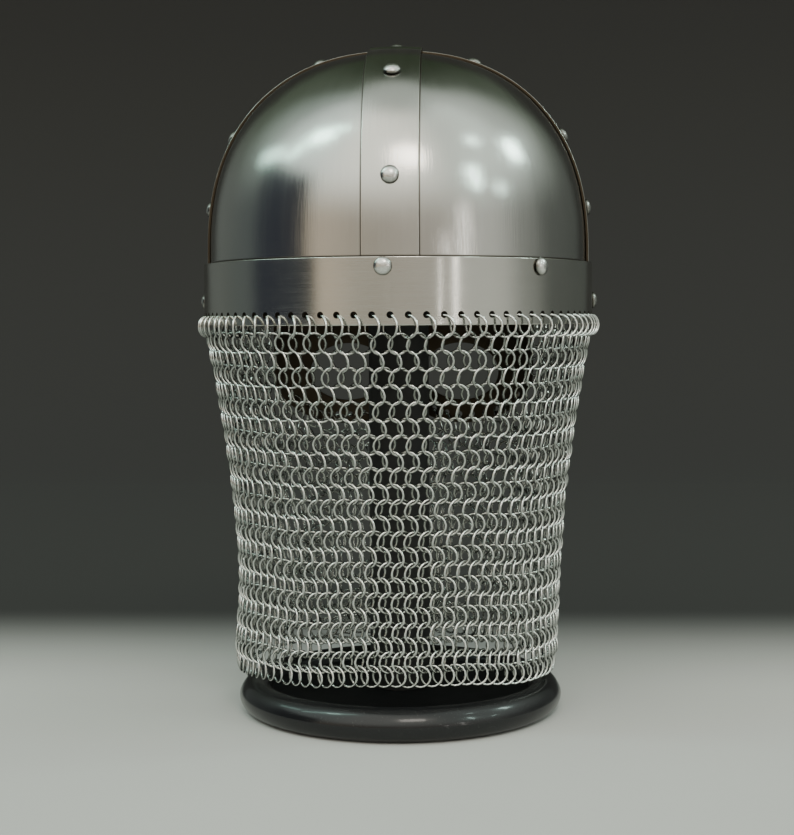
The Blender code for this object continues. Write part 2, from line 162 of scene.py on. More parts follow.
def full_turn(steps):
    return np.linspace(0.0, 2.0 * np.pi, steps, endpoint=False)


def stacked(*parts):
    """Arrays of coordinates, stretched to one shape and joined as points."""
    return np.stack(np.broadcast_arrays(*parts), -1)


def unit(vectors):
    return vectors / np.linalg.norm(vectors, axis=-1, keepdims=True)


def length_along(line):
    """Length along a line of points up to each of them."""
    return np.concatenate(([0.0], np.cumsum(np.linalg.norm(np.diff(line, axis=0), axis=1))))


def woven(points, flat, wrap_rows=False, wrap_columns=False):
    """A sheet of quads through a grid of points, with flat coordinates in metres at each point.

    Where a coordinate runs steadily round a wrapped direction, it goes on over the last quads.
    """
    rows, columns = points.shape[:2]
    row = np.arange(rows if wrap_rows else rows - 1)[:, None]
    column = np.arange(columns if wrap_columns else columns - 1)
    next_row = (row + 1) % rows
    next_column = (column + 1) % columns
    faces = stacked(
        row * columns + column, row * columns + next_column,
        next_row * columns + next_column, next_row * columns + column,
    ).reshape(-1, 4)
    corner_flat = flat.reshape(-1, 2)[faces]
    for axis in (0, 1):
        for line, wrapped in ((flat[0, :, axis], wrap_columns), (flat[:, 0, axis], wrap_rows)):
            steps = np.diff(line)
            if wrapped and (np.all(steps > 0.0) or np.all(steps < 0.0)):
                around = steps.sum() * len(line) / len(steps)
                jump = corner_flat[:, :, axis] - corner_flat[:, :1, axis]
                corner_flat[:, :, axis] -= np.round(jump / around) * around
    return points.reshape(-1, 3), faces, corner_flat


def joined(name, sheets, weld=0.000002):
    """One mesh object from several woven sheets, welded where their edges meet."""
    start = np.cumsum([0] + [len(points) for points, _, _ in sheets[:-1]])
    points = np.concatenate([sheet[0] for sheet in sheets])
    faces = np.concatenate([sheet[1] + first for sheet, first in zip(sheets, start)])
    flat = np.concatenate([sheet[2] for sheet in sheets])
    cells = np.round(points / weld).astype(np.int64)
    _, first_seen, same = np.unique(cells, axis=0, return_index=True, return_inverse=True)
    points = points[first_seen]
    faces = same.reshape(-1)[faces]
    kept = faces != np.roll(faces, 1, axis=1)
    sides = kept.sum(axis=1)
    kept[sides < 3] = False
    sides = sides[sides >= 3]
    corners = faces[kept]
    mesh = bpy.data.meshes.new(name)
    mesh.vertices.add(len(points))
    mesh.vertices.foreach_set("co", points.astype(np.float32).ravel())
    mesh.loops.add(len(corners))
    mesh.loops.foreach_set("vertex_index", corners.astype(np.int32))
    mesh.polygons.add(len(sides))
    starts = np.concatenate(([0], np.cumsum(sides)[:-1]))
    mesh.polygons.foreach_set("loop_start", starts.astype(np.int32))
    mesh.update(calc_edges=True)
    mesh.uv_layers.new(name="UVMap").data.foreach_set("uv", flat[kept].astype(np.float32).ravel())
    mesh.validate()
    obj = bpy.data.objects.new(name, mesh)
    bpy.context.scene.collection.objects.link(obj)
    return obj


def finished(obj, look, slot=None, stands_for=(), sharp=40):
    """Shade a piece smooth between its sharp edges, paint it, and, if a slot is given, attach it to the root
    body and hide the CAD parts it stands for.
    """
    obj.data.shade_smooth()
    obj.data.set_sharp_from_angle(angle=math.radians(sharp))
    obj.data.materials.append(look.material)
    if slot:
        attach(obj, "root")
        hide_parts(*stands_for)
    return obj


def sweep():
    """Floor, a quarter circle of SWEEP_RADIUS, and wall, drawn as one line and carried across."""
    turn = np.linspace(0.0, np.pi / 2, 24)
    y = np.concatenate(([SWEEP_FRONT], SWEEP_BACK - SWEEP_RADIUS * np.sin(turn), [SWEEP_BACK - SWEEP_RADIUS]))
    z = np.concatenate(([0.0], SWEEP_RADIUS * (1.0 - np.cos(turn)), [SWEEP_HEIGHT]))
    x = np.array([-SWEEP_HALF_WIDTH, SWEEP_HALF_WIDTH])
    points = stacked(x[None, :], y[:, None], z[:, None])
    look = Look("graduated_matt_paper", Roughness=0.9)
    fade = look.between(look.part(look.place(), 1), -FADE_START, -FADE_START - FADE_RUN)
    pale = look.mixed(look.noise(6.0), (0.55, 0.54, 0.52), (0.60, 0.59, 0.57))
    look.vary(Base_Color=look.mixed(fade, pale, (0.021, 0.020, 0.019)))
    floor = joined("floor", [woven(points, points[..., :2])])
    finished(floor, look)


def around_helmet(angle, distance, height):
    """A place at a level distance and an angle from the camera's side (+Y) towards +X."""
    return distance * math.sin(angle), distance * math.cos(angle), height


def soft_light(name, azimuth, elevation, distance, size, radiance, colour, roll=0.0):
    """A rectangular soft box that faces the helmet, rolled about the line to it. Its power is pi
    times area times radiance."""
    around, up = math.radians(azimuth), math.radians(elevation)
    lamp = bpy.data.lights.new(name, "AREA")
    lamp.shape = "RECTANGLE"
    lamp.size, lamp.size_y = size
    lamp.energy = math.pi * size[0] * size[1] * radiance
    lamp.color = colour
    box = bpy.data.objects.new(name, lamp)
    bpy.context.scene.collection.objects.link(box)
    height = LIGHTS_AIM_HEIGHT + distance * math.sin(up)
    box.location = around_helmet(around, distance * math.cos(up), height)
    facing = Euler((math.pi / 2 - up, 0.0, math.pi - around)).to_matrix()
    box.rotation_euler = (facing @ Matrix.Rotation(math.radians(roll), 3, "Z")).to_euler()


def room_light():
    """Radiance by direction: a ramp round the horizon, a ramp round the room at half height and
    one colour overhead, each passing smoothly into the next as the direction rises, but later and
    more sharply over a dark doorway at the left."""
    room = Look("dim_room", bpy.data.worlds, "Background")
    bpy.context.scene.world = room.material
    direction = room.node("ShaderNodeTexCoord")
    x, y, z = (room.part(direction, axis) for axis in range(3))
    around = room.maths("ARCTAN2", x, y)

    def ramp(value, low, high, stops):
        span = room.node("ShaderNodeMapRange", {}, {"Value": value, "From Min": low, "From Max": high})
        made = room.node("ShaderNodeValToRGB", {}, {0: span})
        colours = made.socket.node.color_ramp
        colours.interpolation = "EASE"
        while len(colours.elements) < len(stops):
            colours.elements.new(0.5)
        for stop, (place, colour) in zip(colours.elements, stops):
            stop.position = (place - low) / (high - low)
            stop.color = (*colour, 1.0)
        return made

    def round_the_room(stops):
        places = [(math.radians(degrees), colour) for degrees, colour in stops]
        return ramp(around, -math.pi, math.pi, places)

    def rising(start, end):
        return ramp(z, 0.0, 1.0, [(start, dark), (end, light)])

    dark, light = (0.0, 0.0, 0.0), (1.0, 1.0, 1.0)
    horizon = round_the_room([
        (-178, (0.075, 0.080, 0.068)), (-150, (0.10, 0.112, 0.10)), (-112, (0.145, 0.16, 0.145)),
        (-92, (0.34, 0.36, 0.33)), (-66, (0.80, 0.82, 0.75)), (-28, (0.64, 0.60, 0.52)),
        (-6, (0.66, 0.61, 0.52)), (12, (0.58, 0.53, 0.44)), (54, (0.84, 0.73, 0.57)),
        (63, (0.080, 0.083, 0.085)), (74, (0.046, 0.052, 0.068)), (90, (0.044, 0.050, 0.068)),
        (106, (0.14, 0.165, 0.16)), (134, (0.165, 0.185, 0.17)), (178, (0.085, 0.092, 0.078)),
    ])
    half_height = round_the_room([
        (-178, (0.043, 0.060, 0.034)), (-150, (0.11, 0.14, 0.10)), (-110, (0.80, 0.90, 0.82)),
        (-88, (1.30, 1.46, 1.35)), (-50, (1.20, 1.31, 1.20)), (-20, (1.70, 1.74, 1.58)),
        (30, (1.98, 2.02, 1.84)), (70, (1.45, 1.64, 1.55)), (92, (1.15, 1.32, 1.25)),
        (112, (0.46, 0.56, 0.50)), (140, (0.12, 0.155, 0.11)), (178, (0.043, 0.060, 0.034)),
    ])
    doorway = round_the_room([(54, dark), (64, light), (99, light), (110, dark)])
    climb = room.mixed(doorway, rising(0.16, 0.60), rising(0.42, 0.56))
    lower = room.mixed(climb, horizon, half_height)
    room.vary(Color=room.mixed(rising(0.93, 0.995), lower, (0.68, 0.77, 0.70)))


sweep()
room_light()
MINT, PALE_MINT, WARM_WHITE = (0.60, 1.0, 0.86), (0.74, 1.0, 0.91), (1.0, 0.97, 0.92)
for box in (
    ("key", -12.0, 42.0, 1.6, (0.45, 0.30), 9.0, (1.0, 0.93, 0.84)),
    ("left_long_window", 71.0, 47.0, 1.5, (0.95, 0.08), 8.0, MINT, 52.0),
    ("left_pane", 66.0, 49.0, 1.5, (0.22, 0.12), 14.0, (0.66, 1.0, 0.88), 52.0),
    ("left_low_glow", 98.0, 31.0, 1.5, (0.42, 0.15), 3.4, MINT, 30.0),
    ("right_window", -97.0, 34.0, 1.5, (0.15, 0.22), 20.0, PALE_MINT),
    ("right_slit", -57.0, 28.0, 1.5, (0.08, 0.26), 17.0, PALE_MINT),
    ("right_upper_pane", -69.0, 46.0, 1.5, (0.09, 0.08), 16.0, PALE_MINT),
    ("right_lower_pane", -74.0, 21.0, 1.5, (0.10, 0.07), 12.0, PALE_MINT),
    ("wide_tube", -45.0, 5.0, 1.6, (0.06, 0.60), 6.0, WARM_WHITE),
    ("thin_tube", -33.0, 0.0, 1.6, (0.035, 0.20), 9.0, WARM_WHITE),
):
    soft_light(*box)

camera = bpy.data.objects.new("camera", bpy.data.cameras.new("camera"))
bpy.context.scene.collection.objects.link(camera)
camera.data.sensor_fit = "HORIZONTAL"
camera.data.sensor_width = SENSOR_WIDTH
camera.data.lens = SENSOR_WIDTH * FOCAL_PIXELS / PHOTO_WIDTH
camera.data.clip_start = 0.05
camera.location = around_helmet(-CAMERA_SIDE_STEP, CAMERA_DISTANCE, CAMERA_HEIGHT)
camera.rotation_euler = (math.pi / 2 - CAMERA_PITCH, CAMERA_ROLL, math.pi + CAMERA_TURN)
bpy.context.scene.camera = camera


# The skull bowl: one dome of 1.5 mm mild steel, raised to an oval and ground with a belt up and
# down, so that it mirrors the room in soft upright streaks. Its rim goes inside the brow band.
GAP = 0.0003
SHEET = 0.0015
LAYER = SHEET + GAP
HALF_WIDTH = 0.0954
HALF_DEPTH = 0.1098
DOME_START = 0.2342
DOME_HEIGHT = 0.1003
DOME_POWER = 2.31
BOWL_RIM = 0.2063
RIVET_HOLE = 0.0020
CUT_EDGE = 0.0003
EDGE_SUPPORT = 0.0004
RIM_MIDDLE = 0.2033
# Width of the painted shade beside an overlapping edge: where it starts and where it has faded out.
SEAM_SHADE = (0.0003, 0.0012)


def dome_ring(tilt):
    """Plan scale cos(tilt)^(2/power) and height sin(tilt)^(2/power) of the dome at an angle up it."""
    plan = np.maximum(np.cos(tilt), 0.0) ** (2.0 / DOME_POWER)
    rise = np.maximum(np.sin(tilt), 0.0) ** (2.0 / DOME_POWER)
    return plan, DOME_START + DOME_HEIGHT * rise


def bowl_normal(points):
    """Outward unit vector: the slope of hypot(x/width, y/depth)^power + (rise/height)^power."""
    x, y, z = np.moveaxis(points, -1, 0)
    plan = np.hypot(x / HALF_WIDTH, y / HALF_DEPTH)
    lift = np.maximum(z - DOME_START, 0.0) / DOME_HEIGHT
    pull = plan ** (DOME_POWER - 2.0)
    rise = lift ** (DOME_POWER - 1.0) / DOME_HEIGHT
    return unit(stacked(pull * x / HALF_WIDTH ** 2, pull * y / HALF_DEPTH ** 2, rise))


def off_bowl(points, distance):
    """Points moved outwards from the bowl's outer face by a distance."""
    return points + bowl_normal(points) * np.asarray(distance)[..., None]


def smooth_step(share):
    """0 up to 0, 1 from 1 on, and 3 s^2 - 2 s^3 between."""
    share = np.clip(share, 0.0, 1.0)
    return share * share * (3.0 - 2.0 * share)


def cut_sheet(start, end, count, thickness, edge=CUT_EDGE):
    """Closed outline of a cut sheet: place across it, and depth under its outer face.

    Two straight faces with count points each, joined by four quarter circles of radius edge.
    """
    turn = np.linspace(0.0, np.pi / 2, 4)
    flat = np.linspace(start + edge, end - edge, count)
    flat[1] = flat[0] + EDGE_SUPPORT
    flat[-2] = flat[-1] - EDGE_SUPPORT
    across = np.concatenate([
        flat, end - edge + edge * np.sin(turn[1:]), end - edge + edge * np.cos(turn),
        flat[::-1][1:], start + edge - edge * np.sin(turn[1:]), start + edge - edge * np.cos(turn[:-1]),
    ])
    depth = np.concatenate([
        np.zeros(count), edge - edge * np.cos(turn[1:]), thickness - edge + edge * np.sin(turn),
        np.full(count - 1, thickness), thickness - edge + edge * np.cos(turn[1:]),
        edge - edge * np.sin(turn[:-1]),
    ])
    return across, depth


def lathed(radius, height, sides, centre=0.0, axis=(0.0, 0.0, 1.0), marks=None):
    """A profile of radius and height, given from its top down, turned round an axis at a centre.
    The flat coordinates are the way round and the way down the profile, or the marks given."""
    axis = np.array(axis)
    first = unit(np.cross(axis, (0.0, 0.0, 1.0) if abs(axis[2]) < 0.9 else (1.0, 0.0, 0.0)))
    second = np.cross(axis, first)
    turn = full_turn(sides)[:, None]
    radius, height = np.array(radius), np.array(height)
    if marks is None:
        marks = length_along(stacked(radius, height))
    circle = first * np.cos(turn) + second * np.sin(turn)
    points = centre + circle * radius[:, None, None] + axis * height[:, None, None]
    flat = stacked(turn[:, 0] * radius.max(), marks[:, None])
    return woven(points[::-1], flat[::-1], wrap_columns=True)


def rods(name, places, directions, radius, reach=0.012, sides=20):
    """Closed round rods through places along directions."""
    profile = (0.0, radius, radius, 0.0), (reach, reach, -reach, -reach), sides
    return joined(name, [lathed(*profile, *placed) for placed in zip(places, directions)])


def drilled(obj, cutter):
    """The piece with the rods cut out of it; the rods are used up."""
    cut = obj.modifiers.new("drill", "BOOLEAN")
    cut.object = cutter
    cut.solver = "EXACT"
    evaluated = obj.evaluated_get(bpy.context.evaluated_depsgraph_get())
    mesh = bpy.data.meshes.new_from_object(evaluated)
    obj.modifiers.clear()
    obj.data = mesh
    bpy.data.objects.remove(cutter, do_unlink=True)
    return obj


def on_band(tilt_degrees, over_front, side):
    """Point of the bowl on a band's middle line at an angle up the dome."""
    plan, height = dome_ring(math.radians(tilt_degrees))
    if over_front:
        return (0.0, side * HALF_DEPTH * plan, height)
    return (side * HALF_WIDTH * plan, 0.0, height)


def on_rim(degrees, height):
    """Point of the bowl's upright wall at an angle from the wearer's left."""
    angle = math.radians(degrees)
    return (HALF_WIDTH * math.cos(angle), HALF_DEPTH * math.sin(angle), height)


def on_guard(x, height):
    """Point of the upright wall behind a place on the spectacle guard."""
    return (x, -HALF_DEPTH * math.sqrt(1.0 - (x / HALF_WIDTH) ** 2), height)


GUARD_SHEET = 0.0020
OVER_BROW_AND_GUARD = LAYER + GAP + GUARD_SHEET
rivet_list = [(on_band(90.0, True, 1.0), 2 * LAYER)]
rivet_list += [(on_band(tilt, True, side), LAYER) for side in (1.0, -1.0) for tilt in (51.8, 15.1)]
rivet_list += [(on_band(tilt, False, side), LAYER) for side in (1.0, -1.0) for tilt in (69.5, 32.8, 10.7)]
rivet_list += [
    (on_rim(88.2, 0.2251), 2 * LAYER), (on_rim(135.0, 0.2255), LAYER), (on_rim(0.0, 0.2105), 2 * LAYER),
    (on_rim(180.0, 0.2105), 2 * LAYER), (on_rim(-90.0, 0.2236), 2 * LAYER),
    (on_guard(0.0, 0.2095), LAYER + OVER_BROW_AND_GUARD),
]
for side in (1.0, -1.0):
    for place in (on_guard(side * 0.0325, 0.2118), on_guard(side * 0.0635, 0.2093)):
        rivet_list.append((place, OVER_BROW_AND_GUARD))
rivet_seats, rivet_heights = (np.array(part) for part in zip(*rivet_list))
rivet_axes = bowl_normal(rivet_seats)


def rivet_rods(chosen):
    """Drills for the rivets with these numbers, counted from 1."""
    index = np.array(chosen) - 1
    return rods("drills", rivet_seats[index], rivet_axes[index], RIVET_HOLE)


def outer_side(look):
    """1 where a face looks away from the middle of the bowl, 0 on cut edges and inside: the cosine
    between its normal and the line from a point on the axis at the rim."""
    line = look.vector("NORMALIZE", look.vector("SUBTRACT", look.place(), (0.0, 0.0, RIM_MIDDLE)))
    cosine = look.vector("DOT_PRODUCT", line, look.normal(), output=1)
    return look.between(cosine, 0.4, 0.65)


def clear_of_seams(look, seams):
    """0 beside an overlapping edge and 1 away from it, for each axis (0 to 2) and edge place."""
    clear = 1.0
    for axis, edge in seams:
        away = look.maths("ABSOLUTE", look.part(look.place(), axis))
        clear = clear * look.between(away, edge + SEAM_SHADE[0], edge + SEAM_SHADE[1])
    return clear


def ground_steel(name, grain, colour, roughness=0.20, relief=0.55, seams=(), **fixed):
    """Belt-ground steel. grain is the number of scratches per metre across and along the sheet.

    Fine long scratches give the relief, broader ones change the gloss, and clouds of handling
    and old oil change colour and gloss over a few centimetres. A painted shade of dark brown lies
    beside overlapping edges, on the cut edges and over the inside.
    """
    look = Look(name, Metallic=1.0, **fixed)
    sheet = look.on_sheet()
    fine = look.noise((*grain, 1.0), 3.0, sheet)
    broad = look.noise((grain[0] * 0.16, grain[1] * 0.3, 1.0), place=sheet)
    clouds = look.noise((34.0, 26.0, 1.0), 4.0, sheet)
    dark = tuple(value * 0.80 for value in colour)
    steel = look.mixed(clouds * 0.7 + fine * 0.3, dark, colour)
    # Painted shade: the inside, the cut edges and strips beside overlapping edges take dark brown instead of
    # steel.
    unshaded = outer_side(look) * clear_of_seams(look, seams)
    return look.vary(
        Base_Color=look.mixed(unshaded, (0.060, 0.046, 0.032), steel),
        Roughness=(roughness - 0.07 + broad * 0.09 + clouds * 0.08) + (1.0 - unshaded) * 0.25,
        Normal=look.bump(fine * 0.7 + broad * 0.3, relief, 0.00012),
    )


BAND_HALF = 0.0128
BROW_TOP = 0.2293
STEEL_COLOUR = (0.57, 0.56, 0.53)
bowl_steel = ground_steel(
    "bowl_ground_steel", (2400.0, 40.0), STEEL_COLOUR, roughness=0.165, relief=0.42,
    seams=((0, BAND_HALF), (1, BAND_HALF), (2, BROW_TOP)),
)

fine_tilt = np.linspace(0.0, np.pi / 2, 1201)
fine_plan, fine_height = dome_ring(fine_tilt)


def up_the_dome(length, half):
    """Angle up the dome at lengths along its section from the dome's start, for a plan half size."""
    run = length_along(stacked(fine_plan * half, fine_height))
    return np.interp(length, run, fine_tilt), run[-1]


def skull_bowl():
    """The section from rim to crown, with the sheet's thickness, turned round the oval."""
    mean_half = (HALF_WIDTH + HALF_DEPTH) / 2
    wall = DOME_START - BOWL_RIM
    _, dome_length = up_the_dome(0.0, mean_half)
    along, depth = cut_sheet(0.0, wall + dome_length - RIVET_HOLE, 90, SHEET)
    tilt, _ = up_the_dome(along - wall, mean_half)
    plan, height = dome_ring(tilt)
    height = np.where(along < wall, BOWL_RIM + along, height)
    turn = full_turn(192)[:, None]
    points = stacked(
        HALF_WIDTH * plan * np.cos(turn), HALF_DEPTH * plan * np.sin(turn), height)
    sheet = woven(off_bowl(points, -depth), stacked(turn * mean_half, along), True, True)
    bowl = joined("skull_bowl_dome", [sheet])
    finished(drilled(bowl, rivet_rods(range(2, 22))), bowl_steel, "sheet_steel", ["skull_bowl"])


skull_bowl()


# The two bands: flat strips of the same steel, 26 mm wide, ground along their length. The one
# from ear to ear lies on the bowl, and the one from brow to nape is stepped over it at the crown.
BAND_END = 0.2058
STEP_FLAT = 0.0155
STEP_RUN = 0.0070
ear_steel = ground_steel(
    "ear_band_ground_steel", (2400.0, 40.0), (0.60, 0.585, 0.55), roughness=0.19,
    seams=((0, BAND_HALF), (2, BROW_TOP)),
)
nape_steel = ground_steel(
    "nape_band_ground_steel", (2400.0, 40.0), (0.60, 0.585, 0.55), roughness=0.19,
    seams=((2, BROW_TOP),),
)


def band(name, half_across, half_along, swap, lift):
    """A cut strip carried along the dome's section from end to end.

    A line from the dome's centre, shifted across by the point's place on the strip, meets the
    dome where hypot(offset, plan m)^power + (rise m)^power = 1; m is found by halving.
    """
    _, dome_length = up_the_dome(0.0, half_along)
    reach = dome_length + DOME_START - BAND_END
    along = np.linspace(-reach, reach, 260)
    tilt, _ = up_the_dome(dome_length - np.abs(along), half_along)
    ring, height = dome_ring(tilt)
    rise = (height - DOME_START) / DOME_HEIGHT
    across, depth = cut_sheet(-BAND_HALF, BAND_HALF, 16, SHEET)
    offset = across[None, :] / half_across
    low = np.zeros((len(along), len(across)))
    high = np.ones_like(low)
    for _ in range(36):
        middle = (low + high) / 2
        out = np.hypot(offset, ring[:, None] * middle) ** DOME_POWER
        inside = out + (rise[:, None] * middle) ** DOME_POWER < 1.0
        low = np.where(inside, middle, low)
        high = np.where(inside, high, middle)
    below = np.maximum(np.abs(along) - dome_length, 0.0)[:, None]
    length_place = (np.sign(along) * half_along * ring)[:, None] * middle
    up_place = DOME_START + DOME_HEIGHT * rise[:, None] * middle - below
    points = stacked(length_place, -across, up_place) if swap else stacked(across, length_place, up_place)
    crown = 1.0 - smooth_step((np.abs(length_place) - STEP_FLAT) / STEP_RUN)
    points = off_bowl(points, LAYER + lift * crown - depth[None, :])
    flat = stacked(across[None, :] + 10 * depth[None, :], along[:, None])
    strip = woven(points, flat, wrap_columns=True)
    ends = []
    for row, order in ((0, 1), (-1, -1)):
        middle_line = np.broadcast_to(points[row].mean(axis=0), points[row].shape)
        rim = np.stack([points[row], middle_line][::order])
        rim_flat = np.stack([flat[row], flat[row]])
        ends.append(woven(rim[::-1], rim_flat, wrap_columns=True))
    return joined(name, [strip] + ends)


for node, *shape, rivets, steel in (
    ("side_band", HALF_DEPTH, HALF_WIDTH, True, 0.0, [1, *range(6, 12), 14, 15], ear_steel),
    ("front_back_band", HALF_WIDTH, HALF_DEPTH, False, LAYER, [1, 2, 3, 4, 5, 12, 16, 17], nape_steel),
):
    strip = drilled(band(node + "_strip", *shape), rivet_rods(rivets))
    finished(strip, steel, "sheet_steel", [node])


# The brow band: a 31 mm strip bent round the rim over the ends of both bands and ground round
# its length. It is drilled along its lower edge with small holes, from which the mail hangs.
BROW_BOTTOM = 0.1985
TENT_FLAT = 0.0142
TENT_RAMP = 0.0360
MAIL_COLUMNS = 82
HOLE_HEIGHT = 0.2033
HOLE_RADIUS = 0.0016
GUARD_HALF_WIDTH = 0.073


def wall_point(turn, height, distance):
    """A point at a distance outside the bowl's upright wall."""
    return off_bowl(stacked(HALF_WIDTH * np.cos(turn), HALF_DEPTH * np.sin(turn), height), distance)


def wall_normal(turn):
    """Outward unit vector of the bowl's upright wall."""
    return bowl_normal(wall_point(turn, DOME_START, 0.0))


def brow_outside(turn):
    """Distance of the brow band's outer face from the bowl: one layer more over the bands' ends."""
    near = np.minimum(np.abs(HALF_WIDTH * np.cos(turn)), np.abs(HALF_DEPTH * np.sin(turn)))
    return LAYER * (2.0 - smooth_step((near - TENT_FLAT) / TENT_RAMP))


def even_turns(count):
    """Angles evenly spaced by length round the rim, starting at the nape."""
    fine = np.linspace(np.pi / 2, np.pi / 2 + 2.0 * np.pi, 4001)
    run = length_along(stacked(HALF_WIDTH * np.cos(fine), HALF_DEPTH * np.sin(fine)))
    return np.interp(np.arange(count) * run[-1] / count, run, fine), run[-1]


column_turns, rim_length = even_turns(MAIL_COLUMNS)
column_x = HALF_WIDTH * np.cos(column_turns)
behind_guard = (np.sin(column_turns) < 0.0) & (np.abs(column_x) < GUARD_HALF_WIDTH)
brow_steel = ground_steel(
    "brow_ground_steel", (45.0, 2400.0), (0.59, 0.575, 0.53), roughness=0.17, Anisotropic=0.5,
    Anisotropic_Rotation=0.25,
)


def brow_band():
    """The strip's section carried round the rim, then drilled for rivets and mail."""
    turn, _ = even_turns(8 * MAIL_COLUMNS)
    height, depth = cut_sheet(BROW_BOTTOM, BROW_TOP, 14, SHEET)
    outside = brow_outside(turn)[:, None] - depth[None, :]
    points = wall_point(turn[:, None], height[None, :], outside)
    around = np.arange(len(turn)) * rim_length / len(turn)
    flat = stacked(around[:, None], height[None, :] + 8 * depth[None, :])
    strip = joined("brow_band_strip", [woven(points, flat, wrap_rows=True, wrap_columns=True)])
    drilled(strip, rivet_rods(range(12, 22)))
    turns = column_turns[~behind_guard]
    places = wall_point(turns, HOLE_HEIGHT, LAYER)
    drilled(strip, rods("mail_drills", places, wall_normal(turns), HOLE_RADIUS, reach=0.004, sides=24))
    finished(strip, brow_steel, "sheet_steel", ["brow_band"])


brow_band()


# The spectacle guard: one 2 mm plate with two eye holes and a nose guard, cut out flat, bent to
# the brow and ridged down the nose, then riveted over the brow band. The mail hangs from its edge.
EYE_X = 0.0325
EYE_Z = 0.1708
EYE_HALF_WIDTH = 0.0215
EYE_HALF_HEIGHT = 0.0165
LOBE_HALF_WIDTH = GUARD_HALF_WIDTH - EYE_X
LOBE_HALF_HEIGHT = 0.030
GUARD_TOP = 0.2208
GUARD_TOP_DROP = 0.0095
NOSE_HALF_WIDTH = 0.0115
NOSE_END_HALF_WIDTH = 0.0130
NOSE_TIP = 0.1143
TIP_CENTRE = NOSE_TIP + NOSE_END_HALF_WIDTH * 0.7
NOSE_RISE = 0.011
NOSE_SPREAD = 0.024
NOSE_RISE_TOP = 0.1893
NOSE_RISE_FULL = 0.1533
GUARD_HOLE_INSET = 0.0050
GUARD_HOLE_REACH = 0.066
EDGE_STEPS = (34, 14, 44, 6, 20)
NOSE_STEPS = 11


def guard_point(x, z, depth):
    """Point of the plate seen from the front at x and z, at a depth under its outer face.

    Its distance from the bowl is the brow band's plus the plate and the nose ridge, a cosine
    squared across that swells downwards; the place on the wall is corrected till x is right.
    """
    wall_x = x
    for _ in range(6):
        turn = -np.pi / 2 + np.arcsin(wall_x / HALF_WIDTH)
        across = np.cos(np.minimum(np.abs(wall_x) / NOSE_SPREAD, 1.0) * np.pi / 2) ** 2
        down = smooth_step((NOSE_RISE_TOP - z) / (NOSE_RISE_TOP - NOSE_RISE_FULL))
        distance = brow_outside(turn) + GAP + GUARD_SHEET + NOSE_RISE * across * down - depth
        points = wall_point(turn, z, distance)
        wall_x = wall_x + x - points[..., 0]
    return points


def lobe_bottom(x, inset=0.0):
    """Height of the lower ellipse round the eye at x from the middle, or of one inside it."""
    share = np.minimum(np.abs(x - EYE_X) / (LOBE_HALF_WIDTH - inset), 1.0)
    return EYE_Z - (LOBE_HALF_HEIGHT - inset) * np.sqrt(1.0 - share ** 2)


def lobe_edge(turn):
    """Edge of the right half round the eye: the nearest of the side, the middle line, the top
    curve and the lower ellipse, along a ray from the eye's centre."""
    cos, sin = np.cos(turn), np.sin(turn)
    side = LOBE_HALF_WIDTH / np.maximum(cos, 1e-9)
    middle = EYE_X / np.maximum(-cos, 1e-9)
    bend = GUARD_TOP_DROP * cos ** 2 / LOBE_HALF_WIDTH ** 2
    rise = GUARD_TOP - EYE_Z
    top = 2.0 * rise / np.maximum(sin + np.sqrt(sin ** 2 + 4.0 * bend * rise), 1e-9)
    below = 1.0 / np.hypot(cos / LOBE_HALF_WIDTH, sin / LOBE_HALF_HEIGHT)
    reach = np.minimum(np.minimum(side, middle), np.where(sin < 0.0, below, top))
    return EYE_X + reach * cos, EYE_Z + reach * sin


def edge_turns():
    """Angles round the right eye from the top of the middle line, clockwise, with every corner."""
    corners = [
        (0.0, GUARD_TOP - GUARD_TOP_DROP * (EYE_X / LOBE_HALF_WIDTH) ** 2),
        (GUARD_HALF_WIDTH, GUARD_TOP - GUARD_TOP_DROP), (GUARD_HALF_WIDTH, EYE_Z),
        (NOSE_HALF_WIDTH, lobe_bottom(NOSE_HALF_WIDTH)), (0.0, lobe_bottom(0.0)),
    ]
    turns = [math.atan2(z - EYE_Z, x - EYE_X) for x, z in corners]
    turns.append(turns[0] - 2.0 * math.pi)
    runs = []
    for first, last, count in zip(turns, turns[1:], EDGE_STEPS):
        runs.append(np.linspace(first, last, count + 1)[:-1])
    return np.concatenate(runs)


def line_normals(outline):
    """Unit vectors to the left of a closed line of points."""
    along = unit(np.roll(outline, -1, axis=0) - np.roll(outline, 1, axis=0))
    return stacked(-along[:, 1], along[:, 0])


def rounded_rim(outline, normals):
    """The plate's cut edge along a closed outline, from the outer face round to the inner one."""
    turn = np.linspace(0.0, np.pi / 2, 4)
    first, second = CUT_EDGE * (1.0 - np.sin(turn)), CUT_EDGE * (1.0 - np.cos(turn))
    inset = np.concatenate([first, second])
    depth = np.concatenate([second, GUARD_SHEET - first])
    flat_place = outline - normals * inset[:, None, None]
    points = guard_point(flat_place[..., 0], flat_place[..., 1], depth[:, None])
    return woven(points, flat_place, wrap_columns=True)


